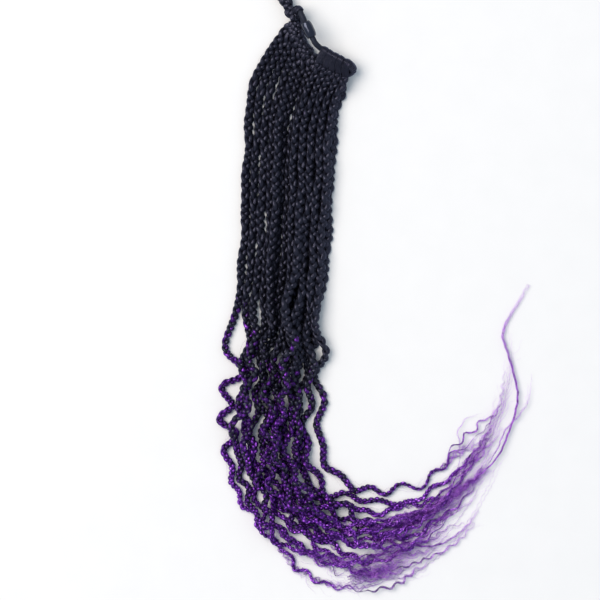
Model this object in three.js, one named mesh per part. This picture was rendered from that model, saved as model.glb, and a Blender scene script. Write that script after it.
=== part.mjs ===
// A braided ponytail lying on a table. Box braids are looped side by side on a hair elastic; they run
// straight for half their length, then crimp, taper and end in thin loose locks. A thicker wrap braid
// leaves one end of the elastic.
// Millimetres, +Z up, +Y towards the elastic.
import * as THREE from "three";

// Elastic and sleeve
const CORD_RADIUS = 2.3;
const CORD_SIDES = 8;
const CORD_STATIONS = 48;
const SLEEVE_LENGTH = 13.5;
const SLEEVE_RADIUS = 4.5;
const SLEEVE_END_RADIUS = 3.5;
const SLEEVE_SEGMENTS = 14;
const SLEEVE_CENTRE = new THREE.Vector3(6.8, 215.2, 18);
const SLEEVE_AXIS = new THREE.Vector3(0.43, -0.903, 0).normalize();

// Braids
const BRAID_LENGTH = { shortest: 520, longest: 690 };
const BRAID_RADIUS = 3.1;
const BRAID_SIDES = 5;
const TIP_RADIUS = 0.45;
const LOOP_WIDTH = 4.6;
const LOOP_THICKNESS = 2;
const GAP = 0.3;

// Wrap braid, wound round the base when the ponytail is worn
const WRAP_RADIUS = 4.2;
const WRAP_SIDES = 8;
const WRAP_STEP = 5;
const WRAP_START = 3;
const WRAP_NECK = { share: 0.62, length: 18 };
const WRAP_END = { share: 0.6, length: 12 };
const WRAP_FALL = 24;
const WRAP_ROUTE = [
  [-12.5, 241],
  [-19, 252],
  [-28, 264],
  [-39, 275],
  [-52, 284],
];

// Loops of hair round the elastic, as angles in degrees from the way the braid leaves it
const LOOP_FIRST_ANGLE = -55;
const LOOP_LAST_ANGLE = -312;
const LOOP_STEPS = 6;
const LOOP_STEP = THREE.MathUtils.degToRad((LOOP_FIRST_ANGLE - LOOP_LAST_ANGLE) / LOOP_STEPS);
const LOOP_RADIUS = (CORD_RADIUS + GAP + LOOP_THICKNESS / 2) / Math.cos(LOOP_STEP / 2);
const BACK_HEIGHT = LOOP_RADIUS + LOOP_THICKNESS / 2 + 0.1;
const FRONT_HEIGHT = BACK_HEIGHT + 8.8;

// Seats of the braids on the two sides of the elastic
const BACK_BRAIDS = 12;
const BACK_PITCH = 5.25;
const BACK_FIRST = 1.5;
const FRONT_BRAIDS = 5;
const FRONT_PITCH = 5.2;
const FRONT_FIRST = 2;

// Lanes of the front braids across the bunch, from its right edge
const FRONT_LANE = { first: 0.04, pitch: 0.085 };

// The first front braids stray: how long their waves are, and how far outside the bunch's right edge
// they lie at the sections after the first tail section, in shares of the bunch's width
const STRAYS = [
  { wave: 1.5, out: [0.14, 0.15, 0.29, 0.32, 0.22, 0.2, 0.3, 0.45, 0.37, 0.1, 0.05] },
  { wave: 1.2, out: [0, 0, 0.04, 0.05, 0.03, 0.03, 0.05, 0.08, 0.1, 0.1, 0.05] },
];
const NO_STRAY = { wave: 1, out: [] };

// Way of a braid as it leaves the elastic: out across the cord, then down the bunch
const ROOT_WAY = [
  { out: 2.8, down: 0 },
  { out: 5.2, down: 5.5 },
];

// How the braids mingle below the straight part, in shares of the bunch's width
const MINGLE = { first: 0.06, growth: 0.012, braidTurn: 2.4, sectionTurn: 1.1 };
const DRAW_IN = 0.16;

// Stations of the straight part: the first, short steps near the elastic, then long ones
const FIRST_STATION = 6;
const ROOT_STEP = { until: 20, step: 8 };
const STRAIGHT_STEP = 30;

// Crimp: half waves that shorten and flatten towards the tips
const WAVE_DELAY = 16;
const WAVE_DELAY_SPREAD = 36;
const HALF_WAVE = { first: 18, last: 6.5 };
const WAVE_SIZE = { first: 5.4, last: 1.8 };
const WAVE_VARIATION = 0.7;
const WAVE_LENGTH_SHARE = { least: 0.85, most: 1.15 };
const WAVE_SIZE_SHARE = { least: 0.8, most: 1.2 };

// Settling of the braids on the table
const SETTLE_STEPS = 480;
const SETTLE_DROP = { first: 0.8, last: 0.2 };
const SETTLE_PULL = 0.12;
const SETTLE_SMOOTH = 0.12;
const SETTLE_LIFT = 2.2;
const NEAR = 16;

// Route of the elastic: the back side, the right turn, the front side with the sleeve, the left turn
const alongSleeve = (distance) => SLEEVE_CENTRE.clone().addScaledVector(SLEEVE_AXIS, distance);
const ELASTIC_ROUTE = [
  new THREE.Vector3(-3.8, 221.5, BACK_HEIGHT + 0.4),
  new THREE.Vector3(-2.2, 212.5, BACK_HEIGHT),
  new THREE.Vector3(2.0, 203, BACK_HEIGHT),
  new THREE.Vector3(11, 192, BACK_HEIGHT),
  new THREE.Vector3(23.5, 184, BACK_HEIGHT),
  new THREE.Vector3(37.3, 181.2, BACK_HEIGHT + 0.9),
  new THREE.Vector3(41.6, 184, BACK_HEIGHT + 4.4),
  new THREE.Vector3(38.8, 187.6, FRONT_HEIGHT - 0.4),
  new THREE.Vector3(29.5, 192.6, FRONT_HEIGHT),
  new THREE.Vector3(19, 198.6, FRONT_HEIGHT + 0.6),
  alongSleeve(11),
  alongSleeve(7),
  alongSleeve(-7),
  alongSleeve(-11),
  new THREE.Vector3(-1.6, 231.4, 13.5),
  new THREE.Vector3(-5, 228.4, 8),
];
const BACK_START_POINT = 0;
const FRONT_START_POINT = 7;
const WRAP_SEAT_POINT = 15;
const WRAP_SEAT_BACK = 1;

// Outline of the bunch: its left and right edge at sections from the elastic to the tips
const SECTIONS = [
  { left: [-33.5, 186], right: [38, 169] },
  { left: [-41.5, 155], right: [28.8, 148] },
  { left: [-44.8, 80], right: [23.2, 80] },
  { left: [-49.6, 0], right: [16.8, 0] },
  { left: [-56, -44], right: [11.2, -41.6] },
  { left: [-62, -92], right: [7.2, -86.4] },
  { left: [-58, -139], right: [4.8, -124] },
  { left: [-38, -186], right: [14.4, -148.8] },
  { left: [0, -221], right: [40, -160] },
  { left: [44.8, -235], right: [73.6, -162.4] },
  { left: [90, -222], right: [105.6, -153.6] },
  { left: [131, -187], right: [121.6, -142.4] },
  { left: [153.6, -152], right: [144, -118.4] },
  { left: [169.6, -116], right: [155.2, -94.4] },
  { left: [178.4, -80], right: [161.6, -70.4] },
  { left: [179.2, -48], right: [164, -41.6] },
  { left: [174.4, -17.6], right: [164, -16] },
  { left: [187.2, 12.8], right: [177.6, 9.6] },
];
const FIRST_TAIL_SECTION = 3;

// Radius of a braid along its length, as a share of BRAID_RADIUS
const TAPER = [
  { length: 0, share: 0.8 },
  { length: 60, share: 1 },
  { length: 320, share: 1 },
  { length: 390, share: 0.84 },
  { length: 450, share: 0.68 },
  { length: 500, share: 0.44 },
  { length: 540, share: 0.24 },
  { length: 600, share: 0.15 },
];

const HAIR = new THREE.MeshStandardMaterial({ color: 0x1d1526, roughness: 0.45, metalness: 0 });
const RUBBER = new THREE.MeshStandardMaterial({ color: 0x15151c, roughness: 0.7, metalness: 0 });
const GLOSS = new THREE.MeshStandardMaterial({ color: 0x0c0c12, roughness: 0.18, metalness: 0 });

const elasticCurve = new THREE.CatmullRomCurve3(ELASTIC_ROUTE, true);

// A repeatable spread of values from 0 to 1 for braid number i
const spread = (i, step) => (i * step + 0.37) % 1;

// Value between the least and the most of a range
const between = ({ least, most }, share) => THREE.MathUtils.lerp(least, most, share);

// Value of a table's column at a length, by straight lines between its rows
function readTable(table, length) {
  const next = table.findIndex((row) => row.length > length);
  if (next < 0) return table[table.length - 1].share;
  if (next === 0) return table[0].share;
  const [a, b] = [table[next - 1], table[next]];
  return THREE.MathUtils.mapLinear(length, a.length, b.length, a.share, b.share);
}

// Closed body through rings of points, each end closed to a point unless the rings form a loop
function sweepGeometry(rings, first, last) {
  const count = rings[0].length;
  const points = rings.flat();
  const triangles = [];
  const turns = first ? rings.length - 1 : rings.length;
  for (let k = 0; k < turns; k++) {
    const here = k * count;
    const next = ((k + 1) % rings.length) * count;
    for (let j = 0; j < count; j++) {
      const side = (j + 1) % count;
      triangles.push(here + j, here + side, next + side, here + j, next + side, next + j);
    }
  }
  if (first) {
    const end = (rings.length - 1) * count;
    points.push(first, last);
    for (let j = 0; j < count; j++) {
      const side = (j + 1) % count;
      triangles.push(points.length - 2, side, j, points.length - 1, end + j, end + side);
    }
  }
  const geometry = new THREE.BufferGeometry().setFromPoints(points);
  geometry.setIndex(triangles);
  geometry.computeVertexNormals();
  return geometry;
}

// Ring of points about a centre, with a flat side down
function ring(centre, side, up, width, height, count) {
  return Array.from({ length: count }, (_, j) => {
    const angle = ((j + 0.5) / count) * 2 * Math.PI - Math.PI / 2;
    return centre
      .clone()
      .addScaledVector(side, width * Math.cos(angle))
      .addScaledVector(up, height * Math.sin(angle));
  });
}

// Elastic: a round cord in one closed loop
function elasticGeometry() {
  const frames = elasticCurve.computeFrenetFrames(CORD_STATIONS, true);
  const rings = [];
  for (let k = 0; k < CORD_STATIONS; k++) {
    const centre = elasticCurve.getPointAt(k / CORD_STATIONS);
    rings.push(ring(centre, frames.normals[k], frames.binormals[k], CORD_RADIUS, CORD_RADIUS, CORD_SIDES));
  }
  return sweepGeometry(rings);
}

// Sleeve: a barrel with a bore for the cord
function sleeveGeometry() {
  const bore = CORD_RADIUS + GAP;
  const half = SLEEVE_LENGTH / 2;
  const profile = [
    new THREE.Vector2(bore, -half),
    new THREE.Vector2(SLEEVE_END_RADIUS, -half),
    new THREE.Vector2(SLEEVE_RADIUS, -half * 0.62),
    new THREE.Vector2(SLEEVE_RADIUS, half * 0.62),
    new THREE.Vector2(SLEEVE_END_RADIUS, half),
    new THREE.Vector2(bore, half),
    new THREE.Vector2(bore, -half),
  ];
  const geometry = new THREE.LatheGeometry(profile, SLEEVE_SEGMENTS);
  const turn = new THREE.Quaternion().setFromUnitVectors(new THREE.Vector3(0, 1, 0), SLEEVE_AXIS);
  return geometry.applyQuaternion(turn).translate(...SLEEVE_CENTRE.toArray());
}

// Length along a curve at one of its points
function lengthAtPoint(curve, index) {
  const steps = 40;
  const spans = curve.closed ? curve.points.length : curve.points.length - 1;
  return curve.getLengths(spans * steps)[index * steps];
}

// Seat on the elastic: its centre, the level way out for the braid and the way up across the cord
function seat(length, outward) {
  const share = length / elasticCurve.getLength();
  const along = elasticCurve.getTangentAt(share);
  const out = new THREE.Vector3(along.y, -along.x, 0).normalize().multiplyScalar(outward);
  const lift = out.clone().cross(along).multiplyScalar(outward).normalize();
  return { centre: elasticCurve.getPointAt(share), out, lift };
}

// Stations of the loop of hair round the elastic
function loopStations({ centre, out, lift }) {
  const stations = [];
  for (let k = 0; k <= LOOP_STEPS; k++) {
    const angle = THREE.MathUtils.degToRad(LOOP_FIRST_ANGLE) - k * LOOP_STEP;
    const up = out.clone().multiplyScalar(Math.cos(angle)).addScaledVector(lift, Math.sin(angle));
    stations.push({
      place: centre.clone().addScaledVector(up, LOOP_RADIUS),
      side: lift.clone().cross(out),
      up,
      width: LOOP_WIDTH / 2,
      height: LOOP_THICKNESS / 2,
      fixed: true,
    });
  }
  return stations;
}

// Point of a lane across the bunch at a section, with lane 0 at the right edge and 1 at the left
function lanePoint({ left, right }, lane) {
  const from = new THREE.Vector3(...right, 0);
  const to = new THREE.Vector3(...left, 0);
  const inset = BRAID_RADIUS / from.distanceTo(to);
  return from.lerp(to, THREE.MathUtils.lerp(inset, 1 - inset, lane));
}

// Level way of a braid from its seat through its lane past its tip
function guideCurve(braid) {
  const { centre, out } = braid.seat;
  const down = new THREE.Vector3(0, -1, 0);
  const points = ROOT_WAY.map((row) =>
    centre.clone().addScaledVector(out, row.out).addScaledVector(down, row.down).setZ(0),
  );
  SECTIONS.forEach((section, index) => {
    const tail = THREE.MathUtils.smoothstep(index, FIRST_TAIL_SECTION, FIRST_TAIL_SECTION + 2);
    const turn = braid.number * MINGLE.braidTurn + index * MINGLE.sectionTurn;
    const mingle = (MINGLE.first + MINGLE.growth * index) * Math.sin(turn);
    const lane = THREE.MathUtils.clamp(braid.lane + tail * (DRAW_IN * (0.5 - braid.lane) + mingle), 0, 1);
    const out = braid.stray.out[index - FIRST_TAIL_SECTION - 1];
    points.push(lanePoint(section, out === undefined ? lane : -out));
  });
  return new THREE.CatmullRomCurve3(points, false, "centripetal");
}

// Stations of the free length: straight steps, then crimp waves to the tip
function freeStations(braid) {
  const curve = guideCurve(braid);
  curve.arcLengthDivisions = 600;
  const total = curve.getLength();
  const stations = [];
  const add = (length, offset) => {
    const along = curve.getTangentAt(length / total);
    const place = curve.getPointAt(length / total);
    place.x += -along.y * offset;
    place.y += along.x * offset;
    const radius = Math.max(TIP_RADIUS, BRAID_RADIUS * readTable(TAPER, length));
    stations.push({ place, width: radius, height: radius, fixed: false });
  };
  const delay = WAVE_DELAY + WAVE_DELAY_SPREAD * (spread(braid.number, 0.618) - 0.5);
  const waveStart = lengthAtPoint(curve, FIRST_TAIL_SECTION + ROOT_WAY.length) + delay;
  const straightStep = (length) => (length < ROOT_STEP.until ? ROOT_STEP.step : STRAIGHT_STEP);
  for (let length = FIRST_STATION; length < waveStart - FIRST_STATION; length += straightStep(length)) {
    add(length, 0);
  }
  let swing = spread(braid.number, 0.414) < 0.5 ? 1 : -1;
  let length = waveStart;
  const end = Math.min(braid.length, total - HALF_WAVE.last);
  while (length < end) {
    const done = Math.sqrt((length - waveStart) / (end - waveStart));
    const wave = stations.length + 5 * braid.number;
    const longer = 1 + WAVE_VARIATION * (spread(wave, 0.618) - 0.5);
    const larger = 1 + WAVE_VARIATION * (spread(wave, 0.414) - 0.5);
    const half = THREE.MathUtils.lerp(HALF_WAVE.first, HALF_WAVE.last, done) * braid.waveLength * longer;
    const size = THREE.MathUtils.lerp(WAVE_SIZE.first, WAVE_SIZE.last, done) * braid.waveSize * larger;
    add(length + half / 2, swing * size);
    swing = -swing;
    length += half;
  }
  return stations;
}

// One row of values for each braid
function braidRows() {
  const rows = [];
  const addRow = (seatPlace, lane, layer, stray) => {
    const number = rows.length + 1;
    rows.push({
      number,
      seat: seatPlace,
      lane,
      layer,
      stray,
      length: THREE.MathUtils.lerp(BRAID_LENGTH.shortest, BRAID_LENGTH.longest, spread(number, 0.618) ** 3),
      waveLength: stray.wave * between(WAVE_LENGTH_SHARE, spread(number, 0.755)),
      waveSize: between(WAVE_SIZE_SHARE, spread(number, 0.57)),
    });
  };
  const backStart = lengthAtPoint(elasticCurve, BACK_START_POINT) + BACK_FIRST;
  for (let k = 0; k < BACK_BRAIDS; k++) {
    addRow(seat(backStart + k * BACK_PITCH, 1), 1 - k / (BACK_BRAIDS - 1), (k * 5) % BACK_BRAIDS, NO_STRAY);
  }
  const frontStart = lengthAtPoint(elasticCurve, FRONT_START_POINT) + FRONT_FIRST;
  for (let k = 0; k < FRONT_BRAIDS; k++) {
    const lane = FRONT_LANE.first + FRONT_LANE.pitch * k;
    addRow(seat(frontStart + k * FRONT_PITCH, -1), lane, BACK_BRAIDS + k, STRAYS[k] ?? NO_STRAY);
  }
  return rows;
}

// Height of a station's centre when its flat underside is on the table
const restHeight = (station) => station.height * Math.cos(Math.PI / BRAID_SIDES);

// Nearest points of two straight pieces, as shares along each
function nearest(a, b, c, d) {
  const u = b.clone().sub(a);
  const v = d.clone().sub(c);
  const w = a.clone().sub(c);
  const [uu, uv, vv, uw, vw] = [u.dot(u), u.dot(v), v.dot(v), u.dot(w), v.dot(w)];
  const across = uu * vv - uv * uv;
  let s = across > 1e-9 ? THREE.MathUtils.clamp((uv * vw - vv * uw) / across, 0, 1) : 0.5;
  const t = THREE.MathUtils.clamp((uv * s + vw) / vv, 0, 1);
  s = THREE.MathUtils.clamp((uv * t - uw) / uu, 0, 1);
  const apart = w.addScaledVector(u, s).addScaledVector(v, -t);
  return { s, t, apart };
}

// Straight pieces of all strands, with the strand each belongs to
function segmentsOf(strands) {
  return strands.flatMap((stations, strand) =>
    stations.slice(1).map((station, k) => ({ strand, a: stations[k], b: station })),
  );
}

// Pairs of straight pieces of different strands that are near each other in plan
function nearPairs(segments) {
  const pairs = [];
  for (let i = 0; i < segments.length; i++) {
    const p = segments[i];
    for (let j = i + 1; j < segments.length; j++) {
      const q = segments[j];
      if (p.strand === q.strand || (p.b.fixed && q.b.fixed)) continue;
      const apartX = Math.max(
        Math.min(p.a.place.x, p.b.place.x) - Math.max(q.a.place.x, q.b.place.x),
        Math.min(q.a.place.x, q.b.place.x) - Math.max(p.a.place.x, p.b.place.x),
      );
      const apartY = Math.max(
        Math.min(p.a.place.y, p.b.place.y) - Math.max(q.a.place.y, q.b.place.y),
        Math.min(q.a.place.y, q.b.place.y) - Math.max(p.a.place.y, p.b.place.y),
      );
      if (apartX < NEAR && apartY < NEAR) pairs.push([p, q]);
    }
  }
  return pairs;
}

// Moves two near pieces apart until the hair of one clears the other
function pushApart([p, q]) {
  const { s, t, apart } = nearest(p.a.place, p.b.place, q.a.place, q.b.place);
  const reach =
    THREE.MathUtils.lerp(p.a.width, p.b.width, s) + THREE.MathUtils.lerp(q.a.width, q.b.width, t) + GAP;
  const distance = apart.length();
  if (distance >= reach) return;
  const way = apart.setZ(apart.z * SETTLE_LIFT + 1e-6).normalize();
  const shares = [
    [p.a, 1 - s, 1],
    [p.b, s, 1],
    [q.a, 1 - t, -1],
    [q.b, t, -1],
  ].filter(([station]) => !station.fixed);
  const weight = shares.reduce((sum, [, share]) => sum + share * share, 0);
  if (weight < 1e-6) return;
  const push = (reach - distance) / Math.max(weight, 0.3);
  for (const [station, share, sign] of shares) {
    station.place.addScaledVector(way, sign * share * push);
    station.place.z = Math.max(station.place.z, restHeight(station));
  }
}

// Lets the braids fall from separate heights and come to rest on the table and on each other
function settle(strands) {
  let pairs = [];
  for (let step = 0; step < SETTLE_STEPS; step++) {
    const done = step / SETTLE_STEPS;
    const drop = THREE.MathUtils.lerp(SETTLE_DROP.first, SETTLE_DROP.last, done);
    const falling = done < 0.8;
    if (step % 20 === 0) pairs = nearPairs(segmentsOf(strands));
    for (const stations of strands) {
      stations.forEach((station, k) => {
        if (station.fixed || !falling) return;
        const [before, after] = [stations[k - 1], stations[k + 1] ?? station];
        const level = (before.place.z + after.place.z) / 2;
        station.place.z += SETTLE_SMOOTH * (level - station.place.z) - drop;
        station.place.x += SETTLE_PULL * (station.home.x - station.place.x);
        station.place.y += SETTLE_PULL * (station.home.y - station.place.y);
        station.place.z = Math.max(station.place.z, restHeight(station));
      });
    }
    for (let pass = 0; pass < 2; pass++) pairs.forEach(pushApart);
  }
}

// Stations of every braid, settled on the table
function settledBraids() {
  const strands = braidRows().map((braid) => {
    const free = freeStations(braid);
    free.forEach((station) => {
      station.home = station.place.clone();
      station.place.z = BACK_HEIGHT + braid.layer * (2 * BRAID_RADIUS + GAP);
    });
    return [...loopStations(braid.seat), ...free];
  });
  settle(strands);
  return strands;
}

// Body of one braid through its stations
function braidGeometry(stations, sides) {
  const rings = stations.map((station, k) => {
    const before = stations[Math.max(k - 1, 0)].place;
    const after = stations[Math.min(k + 1, stations.length - 1)].place;
    const heading = after.clone().sub(before).setZ(0).normalize();
    const up = station.up ?? new THREE.Vector3(0, 0, 1);
    const side = station.side ?? up.clone().cross(heading).normalize();
    return ring(station.place, side, up, station.width, station.height, sides);
  });
  const [first, last] = [stations[0], stations[stations.length - 1]];
  const lastHeading = last.place.clone().sub(stations[stations.length - 2].place).normalize();
  const tip = last.place.clone().addScaledVector(lastHeading, last.width);
  return sweepGeometry(rings, first.place.clone(), tip);
}

// Stations of the wrap braid: its loop on the elastic, a thin neck, then the full plait to a blunt end
function wrapStations() {
  const place = seat(lengthAtPoint(elasticCurve, WRAP_SEAT_POINT) - WRAP_SEAT_BACK, 1);
  const start = place.centre.clone().addScaledVector(place.out, WRAP_START);
  const points = [start, ...WRAP_ROUTE.map((at) => new THREE.Vector3(...at, 0))];
  const curve = new THREE.CatmullRomCurve3(points, false, "centripetal");
  const total = curve.getLength();
  const stations = loopStations(place);
  for (let length = WRAP_STEP; length <= total; length += WRAP_STEP) {
    const grown = THREE.MathUtils.smoothstep(length, 0, WRAP_NECK.length);
    const ending = THREE.MathUtils.smoothstep(length, total - WRAP_END.length, total);
    const neckShare = THREE.MathUtils.lerp(WRAP_NECK.share, 1, grown);
    const endShare = THREE.MathUtils.lerp(1, WRAP_END.share, ending);
    const radius = WRAP_RADIUS * neckShare * endShare;
    const at = curve.getPointAt(length / total);
    const rest = radius * Math.cos(Math.PI / WRAP_SIDES);
    at.z = THREE.MathUtils.lerp(place.centre.z, rest, THREE.MathUtils.smoothstep(length, 0, WRAP_FALL));
    const up = place.lift.clone().lerp(new THREE.Vector3(0, 0, 1), grown).normalize();
    stations.push({ place: at, up, width: radius, height: radius });
  }
  return stations;
}

function named(name, geometry, material) {
  const mesh = new THREE.Mesh(geometry, material);
  mesh.name = name;
  return mesh;
}

const part = new THREE.Group();
part.name = "braided_ponytail";
part.add(named("elastic_band", elasticGeometry(), RUBBER));
part.add(named("joint_sleeve", sleeveGeometry(), GLOSS));
part.add(named("wrap_braid", braidGeometry(wrapStations(), WRAP_SIDES), HAIR));
settledBraids().forEach((stations, k) => {
  part.add(named(`braid_${String(k + 1).padStart(2, "0")}`, braidGeometry(stations, BRAID_SIDES), HAIR));
});

// Origin at the middle of the base
const box = new THREE.Box3().setFromObject(part);
const middle = box.getCenter(new THREE.Vector3()).setZ(box.min.z);
part.children.forEach((mesh) => mesh.geometry.translate(-middle.x, -middle.y, -middle.z));

export default part;
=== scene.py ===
"""Looks of a braided ponytail on a table: plaited and loose hair, elastic, sleeve, light and camera."""

import math

import bpy
import numpy as np
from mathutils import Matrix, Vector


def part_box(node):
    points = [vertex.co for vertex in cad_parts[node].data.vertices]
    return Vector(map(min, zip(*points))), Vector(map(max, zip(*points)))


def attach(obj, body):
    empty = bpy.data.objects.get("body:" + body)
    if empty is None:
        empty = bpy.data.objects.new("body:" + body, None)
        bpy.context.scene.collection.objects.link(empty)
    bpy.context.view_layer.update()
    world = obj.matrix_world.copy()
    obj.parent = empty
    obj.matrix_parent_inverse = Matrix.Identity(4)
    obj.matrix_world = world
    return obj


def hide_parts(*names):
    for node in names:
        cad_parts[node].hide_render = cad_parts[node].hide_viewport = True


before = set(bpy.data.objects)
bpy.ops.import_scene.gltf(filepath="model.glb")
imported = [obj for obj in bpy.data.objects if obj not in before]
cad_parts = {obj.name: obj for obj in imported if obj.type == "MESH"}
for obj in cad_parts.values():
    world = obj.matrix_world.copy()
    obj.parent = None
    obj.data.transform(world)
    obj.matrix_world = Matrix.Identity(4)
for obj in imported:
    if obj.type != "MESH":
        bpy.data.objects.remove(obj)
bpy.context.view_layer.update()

MM = 0.001
UP = np.array([0.0, 0.0, 1.0])
TURN = 2 * math.pi
SEED = 7
random = np.random.default_rng(SEED)

# Working measures: the least length of a direction, a nudge off the vertical, the grid on which points
# are one, the points that give a line's last direction, and the steps over which a spacing is summed
LEAST = 1e-12
NUDGE = np.array([1e-9, 0.0, 0.0])
WELD_GRID = 0.001 * MM
LAST_POINTS = 12
FINE_STEPS = 4000

# View: the width of table that it takes in, the sleeve's middle in millimetres from the view's middle,
# the camera's height and sensor, and the table's side in metres
VIEW_WIDTH = 480 * MM
SLEEVE_PLACE = np.array([6.8, 215.2, 18.0])
CAMERA_HEIGHT = 3200 * MM
SENSOR_WIDTH = 36
TABLE_SIDE = 12.0

# Light: a pale blue sky and one warm softbox, placed in metres from the middle of the view
SKY_COLOUR = (0.74, 0.87, 1.0, 1.0)
SKY_STRENGTH = 0.6
SOFTBOX_PLACE = (-2.2, 1.1, 3.55)
SOFTBOX_SIZE = 3.2
SOFTBOX_POWER = 191
SOFTBOX_COLOUR = (1.0, 0.904, 0.814)

# Plait of a braid, in shares of the braid's radius; turns in the crimp are a share of the straight ones
STRANDS = 3
PLAIT_PERIOD = (7.2, 8.0)
CURL_PERIOD = 0.62
WRAP_PERIOD = 5.4
WRAP_WIDTH = 1.4
PLAIT_SWING = 0.54
PLAIT_LIFT = 0.42
STRAND_WIDTH = 0.47
STRAND_HEIGHT = 0.38
STRAND_PLUMP = 0.3
STRAND_SIDES = 8
WRAP_SIDES = 12
SECTION_POWER = 0.85
RINGS_PER_TURN = 16

# Uneven turns of a plait, in radians, and the waves that they come in
PLAIT_JITTER = 0.25
JITTER_WAVES = (23 * MM, 41 * MM)

# Turning of a plait about its own line, in radians: a lean where it is straight, slow turns where crimped
PLAIT_LEAN = 0.62
LEAN_GROWS = 30 * MM
TWIST_SIZE = 0.2
LATE_TWIST = 0.8
TWIST_RANGE = (220 * MM, 320 * MM)
TWIST_PACE = (60 * MM, 110 * MM)
TWIST_SHARES = (0.6, 0.4)
TWIST_BEAT = 2.3

# Inner hair of the straight braids, in shares of the braid's radius, and the lengths over which it thins
CORE_WIDTH = 1.1
CORE_STEP = 1.0
CORE_HEIGHT = 0.3
CORE_DROP = 0.4
CORE_TAPER = 0.8
CORE_SIDES = 6
CORE_END = (190 * MM, 250 * MM)

# End of a plait, in lengths from the elastic: drawn into one lock, then to a point, with a bare tip
PLAIT_END = 550 * MM
LOCK_START = 380 * MM
LOCK_SHARE = 0.5
PLAIT_POINT = 50 * MM
POINT_DRAW = 0.75
PLAIT_BARE = 12 * MM

# The stray braid thins out earlier and has a longer bare tip
STRAY_BRAID = "braid_13"
STRAY_THIN = 0.4
STRAY_RANGE = (340 * MM, 440 * MM)
STRAY_BARE = 75 * MM

# Start of a plait: flatter at the elastic, and later on the braids that loop high over the front
FLAT_END = 9 * MM
FLAT_HEIGHT = 0.85
FRONT_START = 9 * MM
FRONT_HEIGHT = 10 * MM

# Straight upper braids are pressed wider, crimped ones are slim, and all stray a little from an even way
STRAIGHT_WIDTH = (1.26, 1.38)
STRAIGHT_END = (190 * MM, 280 * MM)
CRIMP_SLIM = 0.94
WANDER_WAVES = (36 * MM, 61 * MM, 97 * MM)
WANDER_SIZE = [(15 * MM, 0.0), (60 * MM, 0.5 * MM), (260 * MM, 0.5 * MM), (330 * MM, 1.3 * MM),
               (430 * MM, 1.2 * MM), (520 * MM, 0.2 * MM)]

# Dye: lengths from the elastic where purple starts at the left and the right of the bunch, how the
# strands of a braid follow each other, and how deep it gets on the braids, the loose hairs and their
# tips;
# the tips' light purple is partly dye and partly painted light, brightened to stand in for light shining
# through thin hair
DYE_LEFT = 220 * MM
DYE_RIGHT = 232 * MM
DYE_STAGGER = np.array([0.0, 0.4, 1.0]) * 65 * MM
STAGGER_SPREAD = (0.6, 1.3)
DYE_SHIFT = 8 * MM
DYE_FADE = (12 * MM, 60 * MM)
DYE_DEPTH = (0.66, 1.0)
TAIL_DYE = 0.38
TAIL_DYE_RANGE = (370 * MM, 470 * MM)
LANE_LENGTH = 150 * MM
HAIR_DYE = 1.2
# Tip value: partly dye, partly painted light that stands in for light shining through thin hair
TIP_DYE_AND_PAINTED_LIGHT = 1.9

# Smooth loops of hair round the front of the elastic: a node's rings in its loop, and the locks on it
LOOP_RINGS = 7
LOOP_LOCKS = 5
LOOP_WIDTH = 5.4 * MM
LOOP_HEIGHT = 1.3 * MM
LOOP_HUG = 1.4 * MM
LOOP_LEAVES = (3 * MM, 19 * MM)
LOOP_GATHER = 0.5
LOOP_STEPS = (40, 20)
LOOP_LOCK_WIDTH = 0.8
LOOP_LOCK_HEIGHT = 0.75
LOOP_SIDES = 6
CROWN_RANGE = (0.9, 1.1)
CROWN_RISE = 0.4

# A hair: thinner towards its tip, with its own fine waves, and clear of the table
HAIR_RADIUS = 0.1 * MM
HAIR_TAPER = 0.7
HAIR_SIDES = 3
HAIR_STEP = 1.7 * MM
FRIZZ_SIZE = (0.1 * MM, 0.75 * MM)
FRIZZ_WAVES = (4.5 * MM, 9 * MM)
FRIZZ_GROWS = 0.3
TABLE_GAP = 0.05 * MM

# Crimp of loose hair: how uneven its waves are, how often that changes, and the share that it grows over
CRIMP_UNEVEN = 0.9
CRIMP_BEAT = 1.7
CRIMP_GROWS = 0.25

# A fine lock: the room at its middle, how it opens, turns, strays and lies flat, and where its hairs
# start and end in shares of its line, with their sizes in shares of the hair's radius
LOCK_ROOM = 0.2 * MM
LOCK_OPENING = (0.3, 1.3)
LOCK_TURN = 1.5
LOCK_WANDER_POWER = 3
LOCK_FLATNESS = 0.7
LOCK_STARTS = (0, 0.3)
LOCK_ENDS = (0.65, 1.1)
LOCK_SIZES = (0.6, 1.2)

# Crimped locks that a braid frays into, in lengths from the elastic
FRAY_LOCKS = 4
FRAY_HAIRS = 9
FRAY_START = (400 * MM, 490 * MM)
FRAY_LENGTH = (55 * MM, 115 * MM)
FRAY_END = 565 * MM
FRAY_LEAST = 50 * MM
FRAY_PAST = 12 * MM
FRAY_SPREAD = 0.9 * MM
FRAY_CRIMP = (0.7 * MM, 2.0 * MM)
FRAY_WAVES = (6.5 * MM, 11 * MM)
FRAY_FREE = 0.5
FRAY_DRIFT = 2.8 * MM
FRAY_DRIFT_POWER = 1.6
FRAY_SINK = 0.5
FRAY_SINK_SHARES = (0.4, 1)

# Smooth hairs at the ends of the long braids
LONG_BRAID = 600 * MM
END_HAIRS = 2
END_START = 520 * MM
END_SPREAD = 0.7 * MM

# Fuzz that leaves the lower braids, in lengths from the elastic, and drifts further where it starts late
HAZE_HAIRS = 500
HAZE_STEP = 2.2 * MM
HAZE_START = 300 * MM
HAZE_END = 560 * MM
HAZE_LEAST = 30 * MM
HAZE_LENGTH = (25 * MM, 75 * MM)
HAZE_DRIFT = 3 * MM
LATE_DRIFT = 6 * MM
LATE_RANGE = (400 * MM, 560 * MM)
HAZE_DRIFT_POWER = 1.5
HAZE_RISE = 4 * MM
HAZE_CRIMP = (0.3 * MM, 1.8 * MM)
HAZE_WAVES = (9 * MM, 26 * MM)
HAZE_TIPS = (380 * MM, 560 * MM)
HAZE_SIZES = (0.5, 0.9)

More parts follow.
